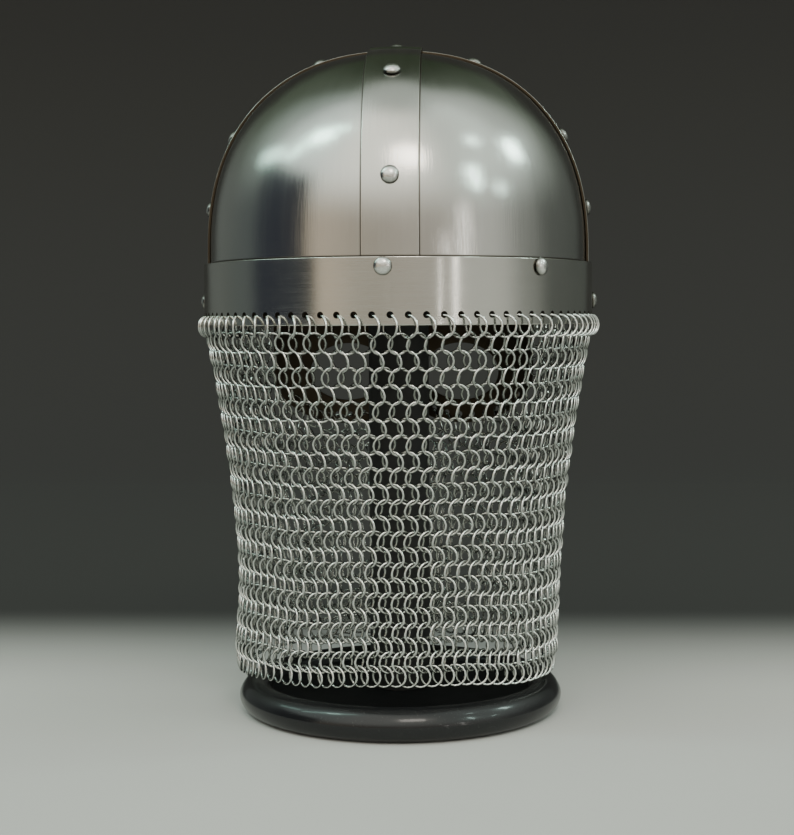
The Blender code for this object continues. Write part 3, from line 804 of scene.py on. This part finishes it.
def spectacle_guard():
    """Each half is a ring of rays from the eye's rim out to the plate's edge; the nose hangs below."""
    turns = edge_turns()
    to_join, across_nose = sum(EDGE_STEPS[:3]), EDGE_STEPS[3]
    edge = stacked(*lobe_edge(turns))
    down = np.linspace(0.0, 1.0, NOSE_STEPS + 1)[:, None]
    nose_side = edge[to_join] + (np.array([NOSE_END_HALF_WIDTH, TIP_CENTRE]) - edge[to_join]) * down[1:]
    tip_turn = np.linspace(0.0, np.pi / 2, 9)[1:]
    tip = stacked(
        NOSE_END_HALF_WIDTH * np.cos(tip_turn), TIP_CENTRE - (TIP_CENTRE - NOSE_TIP) * np.sin(tip_turn))
    half = np.concatenate([edge[:to_join + 1], nose_side, tip])
    half[[0, -1], 0] = 0.0
    outline = np.concatenate([half, half[-2:0:-1] * [-1.0, 1.0]])
    outward = line_normals(outline)
    inset = outline - outward * CUT_EDGE
    inset_half = inset[:len(half)]

    eye = stacked(EYE_X + EYE_HALF_WIDTH * np.cos(turns), EYE_Z + EYE_HALF_HEIGHT * np.sin(turns))
    inward = -line_normals(eye)
    rim = edge.copy()
    rim[:to_join + 1] = inset_half[:to_join + 1]
    rays = np.linspace(0.0, 1.0, 13)[:, None, None]
    start = eye - inward * CUT_EDGE
    lobe = start + (rim - start) * rays

    nose_top = rim[to_join:to_join + across_nose + 1]
    nose_top = np.concatenate([nose_top[:-1], nose_top[-1:] * [0.0, 1.0], nose_top[-2::-1] * [-1.0, 1.0]])
    right = inset_half[to_join:to_join + NOSE_STEPS + 1]
    bottom_half = inset_half[to_join + NOSE_STEPS:]
    pick = np.linspace(0.0, len(bottom_half) - 1, across_nose + 1)
    bottom_right = stacked(*(np.interp(pick, np.arange(len(bottom_half)), part) for part in bottom_half.T))
    bottom = np.concatenate([bottom_right, bottom_right[-2::-1] * [-1.0, 1.0]])
    nose = nose_top * (1.0 - down[:, None]) + bottom * down[:, None]
    nose[:, 0] = right
    nose[:, -1] = right * [-1.0, 1.0]

    sheets = []
    for grid, mirror, wraps in ((lobe, 1.0, True), (lobe, -1.0, True), (nose, 1.0, False)):
        for depth in (0.0, GUARD_SHEET):
            shape = grid * [mirror, 1.0]
            if ((mirror > 0.0) == (depth > 0.0)) == wraps:
                shape = shape[::-1]
            points = guard_point(shape[..., 0], shape[..., 1], depth)
            sheets.append(woven(points, shape, wrap_columns=wraps))
    sheets.append(rounded_rim(outline, outward))
    for loop in (eye[::-1], eye * [-1.0, 1.0]):
        sheets.append(rounded_rim(loop, line_normals(loop)))
    return joined("spectacle_guard_plate", sheets)


def guard_hole_places():
    """Mail holes a little inside the guard's lower edge, at the mail's own columns."""
    x = column_x[behind_guard]
    x = x[(np.abs(x) > NOSE_HALF_WIDTH + HOLE_RADIUS) & (np.abs(x) < GUARD_HOLE_REACH)]
    return x, lobe_bottom(np.abs(x), GUARD_HOLE_INSET)


guard_steel = ground_steel("guard_ground_steel", (45.0, 2400.0), (0.58, 0.57, 0.54), roughness=0.19)
guard = drilled(spectacle_guard(), rivet_rods(range(17, 22)))
hole_x, hole_z = guard_hole_places()
hole_turn = -np.pi / 2 + np.arcsin(hole_x / HALF_WIDTH)
hole_walls = wall_point(hole_turn, hole_z, LAYER)
drilled(guard, rods("guard_drills", hole_walls, wall_normal(hole_turn), HOLE_RADIUS, sides=24))
finished(guard, guard_steel, "sheet_steel", ["spectacle_guard"])


# The rivets: mild steel with a domed head, hammered over a washer-thin seat and burnished bright
# by the work. Their shanks go through all the layers to a low flat tail inside the bowl.
RIVET_HEAD = 0.00425
RIVET_RISE = 0.0028
RIVET_SHANK = 0.0014
RIVET_TAIL = 0.0026
TAIL_RISE = 0.0010
RIVET_SEAT = 0.0002
TAIL_SEAT = 0.0006
HEAD_LIP = 0.0003
HEAD_EDGE = 0.0004
HEAD_FULLNESS = 1.15


def rivet_steel():
    """Bright hammered steel: small dents in the relief, darker in their hollows, and painted shade round
    the foot of the head and over the shank and tail, fading out near the head's crown (the UV map's V is the
    height over the seat)."""
    look = Look("hammered_rivet_steel", Metallic=1.0)
    dents = look.noise(620.0)
    scale = look.noise(2600.0, 3.0)
    # Painted shade: dark from the seat up the head, steel colour only towards its crown.
    clear_of_foot_shade = look.between(look.part(look.on_sheet(), 1), 0.0002, 0.0027)
    bright = look.mixed(dents, (0.50, 0.49, 0.46), (0.95, 0.94, 0.90))
    return look.vary(
        Base_Color=look.mixed(clear_of_foot_shade, (0.085, 0.08, 0.068), bright),
        Roughness=0.15 + scale * 0.20, Normal=look.bump(dents + scale * 0.12, 0.35, 0.0003),
    )


def rivet(number, look):
    """Head, shank and tail as one profile; flat heights are over the seat."""
    seat = rivet_heights[number] + RIVET_SEAT
    tail = -SHEET - TAIL_SEAT - seat
    dome = np.linspace(0.0, np.pi / 2, 12)
    radius = np.concatenate([RIVET_HEAD * np.sin(dome), [
        RIVET_HEAD - HEAD_LIP, RIVET_SHANK, RIVET_SHANK, RIVET_TAIL, RIVET_TAIL * 0.9, 0.0]])
    height = np.concatenate([HEAD_EDGE + (RIVET_RISE - HEAD_EDGE) * np.cos(dome) ** HEAD_FULLNESS, [
        0.0, 0.0, tail, tail, tail - TAIL_RISE * 0.6, tail - TAIL_RISE]])
    axis = rivet_axes[number]
    name = f"rivet_{number + 1:02d}"
    shape = lathed(radius, height, 28, rivet_seats[number] + axis * seat, axis, height)
    finished(joined(name + "_domed", [shape]), look, "rivet_steel", [name])


rivet_look = rivet_steel()
for number in range(len(rivet_list)):
    rivet(number, rivet_look)


# The mail: about 1700 rings of 1.3 mm galvanised wire, each closed through four others. Hangers
# pass through the holes of the brow band and the guard, and 22 rows hang from them, drawing in
# to the hem. Rings of one row lean one way about the upright, and the next row's the other way.
RING_RADIUS = 0.00515
WIRE_RADIUS = 0.00064
RING_STEPS = 16
WIRE_STEPS = 5
MAIL_ROWS = 22
ROW_ONE = 0.1903
ROW_STEP = 0.00785
ROW_SAG = 0.0000081
ROW_TIGHTENING = 0.00000091
HEM_SIDE_DROP = 0.0042
HEM_SWAY = (0.0006, 0.0004)
MAIL_TOP = 0.1979
MAIL_TOP_HALF = (0.0973, 0.1128)
MAIL_HEM_HALF = (0.0785, 0.0710)
MAIL_HEM = 0.0213
MAIL_PULL = 1.9
HEM_FLARE = 0.0044
FLARE_START = 0.68
MAIL_FRONT_HANG = 0.1413
FRONT_FACING = (0.35, 0.40)
HANGER_LEAN = math.radians(45.0)
LEAST_LEAN = math.radians(20.0)
FAR_HALF_SHOWS = 0.0028
HEM_LEAN = math.radians(18.0)
LEAN_SPREAD = math.radians(2.2)
NOD_SPREAD = math.radians(1.8)
HANGER_SPREAD = math.radians(4.0)
PLACE_SPREAD = 0.00009
HANGER_SLACK = 0.0002
GUARD_MARGIN = 0.0005
UNDER_GUARD = 0.0045
FRONT_RAISE = (0.0045, 0.0065)
RAISE_END = 0.0450
RAISE_RUNS = (0.0150, 0.0157)
RAISE_FADE = (0.0333, 0.10)
chance = np.random.default_rng(11)


def row_height(row, turn):
    """Height of a row: nearly even steps down, more at the sides and a little uneven round the
    hem, and raised to the guard's holes in front, most beside the nose and less towards the hem."""
    steps = row - 1.0
    height = ROW_ONE - ROW_STEP * steps - ROW_SAG * steps ** 2 + ROW_TIGHTENING * steps ** 3
    low = np.clip(steps / (MAIL_ROWS - 1), 0.0, 1.0)
    sway = HEM_SWAY[0] * np.sin(4.0 * turn + 0.7) + HEM_SWAY[1] * np.sin(9.0 * turn + 2.0)
    height = height + low * (sway * smooth_step(np.sin(turn) * 3.0 + 0.5) - HEM_SIDE_DROP * np.cos(turn) ** 2)
    x = np.abs(HALF_WIDTH * np.cos(turn))
    under_eye, beside_nose = FRONT_RAISE
    near_nose = np.clip((EYE_X - x) / RAISE_RUNS[1], 0.0, 1.0) ** 2
    raised = under_eye + (beside_nose - under_eye) * near_nose
    raised = raised * (1.0 - smooth_step((x - RAISE_END) / RAISE_RUNS[0]))
    front = smooth_step((-np.sin(turn) - 0.2) / 0.2)
    return height + raised * front * smooth_step((height - RAISE_FADE[0]) / RAISE_FADE[1])


def mail_oval(row, turn):
    """The curtain's middle: straight down to where it hangs free, then in by 1 - (1 - d)^pull. The
    last rows stand out a little at the wearer's left."""
    height = row_height(row, turn)
    facing = np.maximum(-np.sin(turn), 0.0)
    hang = MAIL_TOP + (MAIL_FRONT_HANG - MAIL_TOP) * np.clip(
        (facing - FRONT_FACING[0]) / FRONT_FACING[1], 0.0, 1.0)
    depth = np.clip((hang - height) / (hang - MAIL_HEM), 0.0, 1.0)
    share = 1.0 - (1.0 - depth) ** MAIL_PULL
    half_x = MAIL_TOP_HALF[0] + (MAIL_HEM_HALF[0] - MAIL_TOP_HALF[0]) * share
    half_y = MAIL_TOP_HALF[1] + (MAIL_HEM_HALF[1] - MAIL_TOP_HALF[1]) * share
    flare = HEM_FLARE * smooth_step((depth - FLARE_START) / (1.0 - FLARE_START))
    flare = flare * np.maximum(np.cos(turn), 0.0) ** 2
    return stacked(half_x * np.cos(turn) + flare, half_y * np.sin(turn), height)


def row_places(row):
    """Centres of a row's rings, evenly spaced along the row's own oval from the nape, their
    angles round the helmet, and the spacing."""
    fine = np.linspace(np.pi / 2, np.pi / 2 + 2.0 * np.pi, 3601)
    run = length_along(mail_oval(row, fine))
    share = (np.arange(MAIL_COLUMNS) + 0.5 * (row % 2)) / MAIL_COLUMNS
    turn = np.interp(share * run[-1], run, fine)
    return mail_oval(row, turn), turn, run[-1] / MAIL_COLUMNS


def rings(name, look, centres, across, upright):
    """Closed wire rings: a small circle of the wire carried round a circle in each ring's plane."""
    around = full_turn(RING_STEPS)
    section = full_turn(WIRE_STEPS)
    axle = np.cross(across, upright)
    around_ring, round_wire = around[:, None, None], section[:, None]
    out = across[:, None, None] * np.cos(around_ring) + upright[:, None, None] * np.sin(around_ring)
    reach = RING_RADIUS + WIRE_RADIUS * np.cos(round_wire)
    points = centres[:, None, None] + out * reach + axle[:, None, None] * WIRE_RADIUS * np.sin(round_wire)
    flat = stacked(around[:, None] * RING_RADIUS, section * WIRE_RADIUS)
    sheets = []
    for ring in points:
        places, faces, corner_flat = woven(ring, flat, wrap_rows=True, wrap_columns=True)
        sheets.append((places, faces[:, ::-1], corner_flat))
    finished(joined(name, sheets, weld=1e-7), look, "mail_steel", ["mail_aventail"], sharp=180)


def mail_wire():
    """Galvanised wire: pale grey with a green cast, clouded from ring to ring. Painted shade darkens
    the inner half of each ring and the undersides of the wire, so that only the outer half,
    cos(U / ring radius) > 0, stays bright."""
    look = Look("galvanised_wire", Metallic=1.0)
    outwards = look.maths("COSINE", look.part(look.on_sheet(), 0) * (1.0 / RING_RADIUS))
    # Painted shade on the inner half of each ring, which faces the dark inside of the curtain.
    outer_half_lit = look.between(outwards, -0.6, 0.5)
    # Painted shade on the undersides of the wire, by how far its normal points down.
    topside_lit = look.between(look.part(look.normal(), 2), -0.55, 0.15)
    spangle = look.noise(900.0)
    zinc = look.mixed(look.noise(90.0, 3.0) * 0.6 + spangle * 0.4, (0.62, 0.65, 0.61), (1.0, 1.0, 0.97))
    return look.vary(
        Base_Color=look.mixed((0.42 + outer_half_lit * 0.58) * (0.34 + topside_lit * 0.66), (0.12, 0.125, 0.11), zinc),
        Roughness=0.11 + spangle * 0.14, Normal=look.bump(spangle, 0.3, 0.0001),
    )


def mail():
    """Rings whose lean about the upright leaves the far half of each to show beside the near
    half of the next: cos(lean) = (pitch + what shows) / 2R. None lies flatter than its linked
    neighbours' wire allows."""
    look = mail_wire()
    rows = []
    for row in range(1, MAIL_ROWS + 1):
        place, turn, pitch = row_places(row)
        tangent = unit(np.roll(place, -1, axis=0) - np.roll(place, 1, axis=0))
        up = unit(mail_oval(row - 0.5, turn) - mail_oval(row + 0.5, turn))
        outward = unit(np.cross(tangent, up))
        lean = np.arccos(np.clip((pitch + FAR_HALF_SHOWS) / (2.0 * RING_RADIUS), 0.0, 1.0))
        lean = np.full(len(turn), HEM_LEAN if row == MAIL_ROWS else max(lean, LEAST_LEAN))
        lean = lean + chance.normal(0.0, LEAN_SPREAD, len(turn))
        sign = -1.0 if row % 2 else 1.0
        direction = tangent * (sign * np.cos(lean))[:, None] + outward * np.sin(lean)[:, None]
        nod, tip = (chance.normal(0.0, NOD_SPREAD, (len(turn), 1)) for _ in range(2))
        up = unit(up + direction * nod + outward * tip)
        direction = unit(direction - up * (direction * up).sum(axis=1, keepdims=True))
        place = place + chance.normal(0.0, PLACE_SPREAD, place.shape)
        x = np.abs(place[:, 0])
        in_front = (np.sin(turn) < 0.0) & (x < GUARD_HALF_WIDTH + GUARD_MARGIN)
        kept = ~in_front | (place[:, 2] + UNDER_GUARD < lobe_bottom(x))
        rows.append([place[kept], direction[kept], up[kept]])
    brow_turn = column_turns[~behind_guard]
    sheet_middle = np.concatenate([
        wall_point(brow_turn, HOLE_HEIGHT, brow_outside(brow_turn) - SHEET / 2),
        guard_point(hole_x, hole_z, GUARD_SHEET / 2),
    ])
    outward = wall_normal(np.concatenate([brow_turn, hole_turn]))
    upward = np.broadcast_to([0.0, 0.0, 1.0], outward.shape)
    tangent = np.cross(upward, outward)
    lean = chance.normal(HANGER_LEAN, HANGER_SPREAD, (len(outward), 1))
    direction = outward * np.cos(lean) + tangent * np.sin(lean)
    rows.insert(0, [sheet_middle - upward * (RING_RADIUS + HANGER_SLACK), direction, upward])
    middle = MAIL_ROWS // 2
    for name, some in (("mail_upper_rows", rows[:middle]), ("mail_lower_rows", rows[middle:])):
        rings(name, look, *(np.concatenate(parts) for parts in zip(*some)))


mail()


# The stand: a turned wooden foot with a thick rounded rim, lacquered glossy black, and a plain
# black post up to a small leather pad that bears the crown of the bowl.
FOOT_LINE = (
    (0.0665, 0.0105), (0.0690, 0.0145), (0.0745, 0.0165), (0.0800, 0.0146),
    (0.0835, 0.0088), (0.0820, 0.0030), (0.0775, 0.0000),
)
FOOT_DISH = 0.0105
GLOSS_STARTS = (0.0655, 0.0685)
POST_RADIUS = 0.0155
POST_EDGE = 0.001
PAD_RADIUS = 0.030
PAD_THICKNESS = 0.012
PAD_CLEARANCE = 0.0036
PAD_EDGE = 0.003


def black_lacquer():
    """Glossy black lacquer: a clear coat over black on the rim, with dust and faint rubbing marks,
    and thin dull black in the dish inside it."""
    look = Look("black_lacquer", Coat_Roughness=0.08, Specular_IOR_Level=0.25)
    flat = look.vector("MULTIPLY", look.place(), (1.0, 1.0, 0.0))
    rim = look.between(look.vector("LENGTH", flat, output=1), *GLOSS_STARTS)
    rubbed = look.noise(60.0, 4.0)
    specks = look.node("ShaderNodeMapRange", {}, {0: look.noise(1400.0, 1.0), 1: 0.68, 2: 0.78})
    return look.vary(
        Base_Color=look.mixed(specks, (0.010, 0.010, 0.011), (0.05, 0.05, 0.048)),
        Roughness=0.56 + rubbed * 0.16 - rim * 0.40, Coat_Weight=rim * 0.35,
        Normal=look.bump(rubbed, 0.12, 0.0006),
    )


def smooth_line(points, count):
    """A smooth curve through points: Catmull-Rom pieces, whose slope at each is half the chord
    between its neighbours."""
    points = np.array(points)
    padded = np.concatenate([points[:1] * 2 - points[1:2], points, points[-1:] * 2 - points[-2:-1]])
    place = np.linspace(0.0, len(points) - 1 - 1e-9, count)
    index = place.astype(int)
    share = (place - index)[:, None]
    before, first, second, after = (padded[index + step] for step in range(4))
    slope_in = (second - before) / 2
    slope_out = (after - first) / 2
    return (
        first * (1 + 2 * share) * (1 - share) ** 2 + slope_in * share * (1 - share) ** 2
        + second * share ** 2 * (3 - 2 * share) - slope_out * share ** 2 * (1 - share)
    )


foot_line = smooth_line(FOOT_LINE, 72)
foot_radius = np.concatenate([[0.0], foot_line[:, 0], [0.0]])
foot_height = np.concatenate([[FOOT_DISH], foot_line[:, 1], [0.0]])
foot = joined("stand_foot_turning", [lathed(foot_radius, np.maximum(foot_height, 0.0), 160)])
finished(foot, black_lacquer(), "black_lacquer", ["stand_base"])


def satin_black():
    """Satin black paint over turned wood: faint rings of the lathe and slight wear."""
    look = Look("satin_black_paint")
    lathe = look.noise((8.0, 8.0, 900.0))
    return look.vary(
        Base_Color=look.mixed(lathe, (0.010, 0.010, 0.010), (0.022, 0.021, 0.020)),
        Roughness=0.50 + lathe * 0.2, Normal=look.bump(lathe, 0.3, 0.0002),
    )


def pad_leather():
    """Thin black leather: a pebbled grain of small cells."""
    look = Look("black_pad_leather")
    cells = look.node("ShaderNodeTexVoronoi", {}, {"Vector": look.place(), "Scale": 700.0})
    return look.vary(
        Base_Color=look.mixed(cells, (0.030, 0.027, 0.024), (0.014, 0.012, 0.011)),
        Roughness=0.55 + cells * 0.2, Normal=look.bump(cells, 0.5, 0.0003),
    )


def under_crown(reach):
    """Height of the pad's top: the dome's narrower section, less the clearance."""
    rise = (1.0 - (reach / HALF_WIDTH) ** DOME_POWER) ** (1.0 / DOME_POWER)
    return DOME_START + DOME_HEIGHT * rise - PAD_CLEARANCE


pad_reach = np.linspace(0.0, PAD_RADIUS - PAD_EDGE, 12)
pad_height = under_crown(pad_reach)
pad_bottom = under_crown(PAD_RADIUS) - PAD_THICKNESS
post_top = pad_bottom - GAP
post = joined("stand_post_turning", [lathed(
    [0.0, POST_RADIUS - POST_EDGE, POST_RADIUS, POST_RADIUS, 0.0],
    [post_top, post_top, post_top - POST_EDGE, FOOT_DISH + GAP, FOOT_DISH + GAP], 48,
)])
finished(post, satin_black(), "black_paint", ["stand_post"])
roll = np.linspace(0.0, np.pi, 14)[1:]
roll_middle = (pad_height[-1] + pad_bottom) / 2
pad = joined("stand_pad_cover", [lathed(
    np.concatenate([pad_reach, PAD_RADIUS - PAD_EDGE + PAD_EDGE * np.sin(roll), [0.0]]),
    np.concatenate([
        pad_height, roll_middle + (pad_height[-1] - pad_bottom) / 2 * np.cos(roll), [pad_bottom]]), 64,
)])
finished(pad, pad_leather(), "pad_leather", ["stand_pad"])
